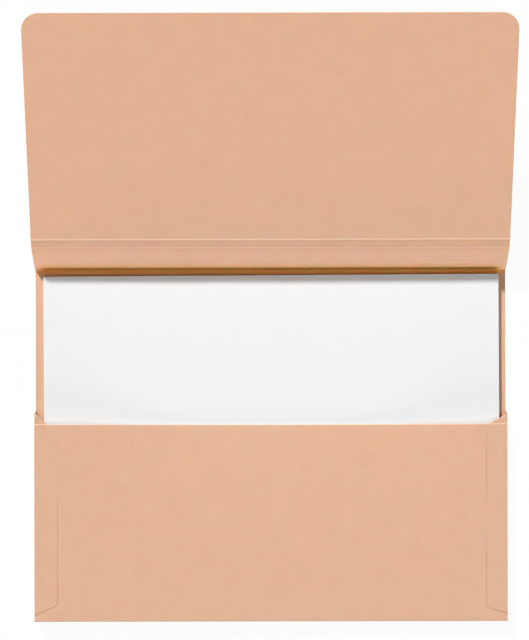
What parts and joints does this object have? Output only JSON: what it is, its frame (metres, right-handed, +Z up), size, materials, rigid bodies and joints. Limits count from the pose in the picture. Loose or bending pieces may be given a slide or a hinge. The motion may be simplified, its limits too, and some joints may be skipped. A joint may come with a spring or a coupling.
{
  "type": "document wallet",
  "caption": "Open card document wallet: a shallow gusseted pocket with loose sheets in it, a scored spine that bends and a long flap with rounded corners.",
  "frame": {"origin": "middle of the back panel's underside, which lies flat on the table", "axes": "+Z up from the table, +Y from the pocket's bottom edge towards the flap's free edge, +X to the right as seen in the picture"},
  "size_m": [0.308, 0.3867, 0.081],
  "materials": {
    "card": "uncoated salmon-buff manila card, matt, with fine fibres and a faint mottle",
    "sheet": "plain white uncoated office paper, matt",
    "glue": "dried white glue, thin film, hidden between two layers of card"
  },
  "bodies": {
    "pocket": {"back_panel": "card", "bottom_gusset": "card", "front_panel": "card", "left_side_gusset": "card", "right_side_gusset": "card", "left_glue_tab": "card", "right_glue_tab": "card", "left_glue_line": "glue", "right_glue_line": "glue"},
    "strip_1": {"spine_strip_1": "card"},
    "strip_2": {"spine_strip_2": "card"},
    "strip_3": {"spine_strip_3": "card"},
    "strip_4": {"spine_strip_4": "card"},
    "strip_5": {"spine_strip_5": "card"},
    "strip_6": {"spine_strip_6": "card"},
    "flap": {"flap": "card"},
    "sheets": {"sheet_01": "sheet", "sheet_02": "sheet", "sheet_03": "sheet", "sheet_04": "sheet", "sheet_05": "sheet", "sheet_06": "sheet", "sheet_07": "sheet", "sheet_08": "sheet", "sheet_09": "sheet", "sheet_10": "sheet", "sheet_11": "sheet", "sheet_12": "sheet", "sheet_13": "sheet", "sheet_14": "sheet", "sheet_15": "sheet", "sheet_16": "sheet", "sheet_17": "sheet", "sheet_18": "sheet", "sheet_19": "sheet", "sheet_20": "sheet", "sheet_21": "sheet", "sheet_22": "sheet", "sheet_23": "sheet", "sheet_24": "sheet", "sheet_25": "sheet", "sheet_26": "sheet", "sheet_27": "sheet", "sheet_28": "sheet", "sheet_29": "sheet", "sheet_30": "sheet", "sheet_31": "sheet", "sheet_32": "sheet", "sheet_33": "sheet", "sheet_34": "sheet", "sheet_35": "sheet", "sheet_36": "sheet", "sheet_37": "sheet", "sheet_38": "sheet", "sheet_39": "sheet", "sheet_40": "sheet"}
  },
  "joints": [
    {"name": "score_1", "type": "hinge", "parent": "pocket", "child": "strip_1", "pos_m": [0, 0.1145, 0.00022], "axis": [1, 0, 0], "range_deg": [-4, 22]},
    {"name": "score_2", "type": "hinge", "parent": "strip_1", "child": "strip_2", "pos_m": [0, 0.11667, 0.0056], "axis": [1, 0, 0], "range_deg": [-1, 6]},
    {"name": "score_3", "type": "hinge", "parent": "strip_2", "child": "strip_3", "pos_m": [0, 0.1194, 0.01072], "axis": [1, 0, 0], "range_deg": [-16, 94]},
    {"name": "score_4", "type": "hinge", "parent": "strip_3", "child": "strip_4", "pos_m": [0, 0.12247, 0.01564], "axis": [1, 0, 0], "range_deg": [-1, 3]},
    {"name": "score_5", "type": "hinge", "parent": "strip_4", "child": "strip_5", "pos_m": [0, 0.1258, 0.02039], "axis": [1, 0, 0], "range_deg": [-1, 5]},
    {"name": "score_6", "type": "hinge", "parent": "strip_5", "child": "strip_6", "pos_m": [0, 0.12952, 0.02484], "axis": [1, 0, 0], "range_deg": [-3, 19]},
    {"name": "score_7", "type": "hinge", "parent": "strip_6", "child": "flap", "pos_m": [0, 0.1345, 0.02782], "axis": [1, 0, 0], "range_deg": [-1, 10]},
    {"name": "sheets_slide", "type": "slide", "parent": "pocket", "child": "sheets", "axis": [0, 1, 0], "range_m": [-0.013, 0.0018]}
  ]
}
